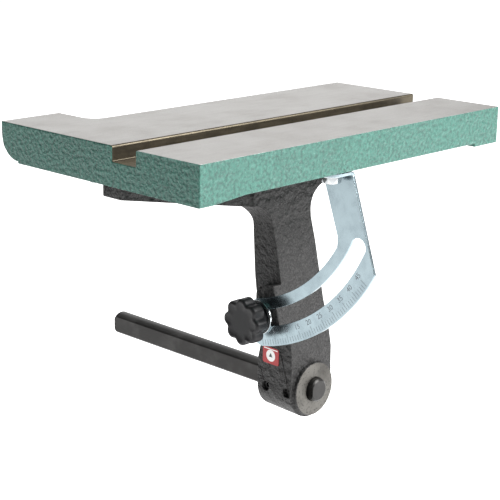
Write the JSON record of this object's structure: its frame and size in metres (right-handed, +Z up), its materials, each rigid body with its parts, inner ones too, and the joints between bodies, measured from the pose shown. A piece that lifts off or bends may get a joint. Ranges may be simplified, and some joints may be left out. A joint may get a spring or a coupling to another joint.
{
  "type": "tilting work table",
  "caption": "Cast-iron sander work table with mitre slot, tilting on side pivots over a cast arm, with slotted angle quadrant, clamp knob and round support shaft.",
  "frame": {"origin": "on the support shaft's axis, in the plane where the shaft leaves the rear face of the arm's hub", "axes": "+X along the table, +Y from the front edge towards the machine along the shaft, +Z up, normal to the working surface at 0 degrees of tilt"},
  "size_m": [0.264, 0.2536, 0.1942],
  "materials": {
    "green_cast_iron": "hammered green paint on the sides and underside, ground bare top",
    "black_cast_iron": "rough black-painted casting with machined hub face",
    "blackened_steel": "black oxide, satin",
    "zinc_sheet": "bright bluish zinc plate",
    "zinc_hardware": "bright zinc plate",
    "black_plastic": "moulded, semi-matt",
    "red_label": "printed adhesive label"
  },
  "bodies": {
    "support": {"support_arm": "black_cast_iron", "support_shaft": "blackened_steel", "shaft_set_screws": "blackened_steel", "index_label": "red_label", "left_pivot_bolt": "zinc_hardware", "left_pivot_spring_washer": "zinc_hardware", "left_pivot_washer": "zinc_hardware", "right_pivot_bolt": "zinc_hardware", "right_pivot_spring_washer": "zinc_hardware", "right_pivot_washer": "zinc_hardware"},
    "table": {"table_top": "green_cast_iron", "quadrant_plate": "zinc_sheet", "quadrant_bolt": "zinc_hardware", "quadrant_flat_washer": "zinc_hardware"},
    "washer": {"clamp_washer": "zinc_hardware"},
    "knob": {"clamp_knob": "black_plastic", "knob_insert": "zinc_hardware", "clamp_stud": "zinc_hardware"}
  },
  "joints": [
    {"name": "table_tilt", "type": "hinge", "parent": "support", "child": "table", "pos_m": [0, 0.0135, 0.1565], "axis": [1, 0, 0], "range_deg": [0, 45]},
    {"name": "clamp_slide", "type": "slide", "parent": "support", "child": "washer", "axis": [-1, 0, 0], "range_m": [0, 0.0025]},
    {"name": "knob_turn", "type": "hinge", "parent": "washer", "child": "knob", "pos_m": [-0.03, -0.00995, 0.04893], "axis": [-1, 0, 0], "range_deg": [0, 720]}
  ],
  "couplings": [
    {"joint": "knob_turn", "follows": "clamp_slide", "rad_per_m": 5026.5}
  ]
}
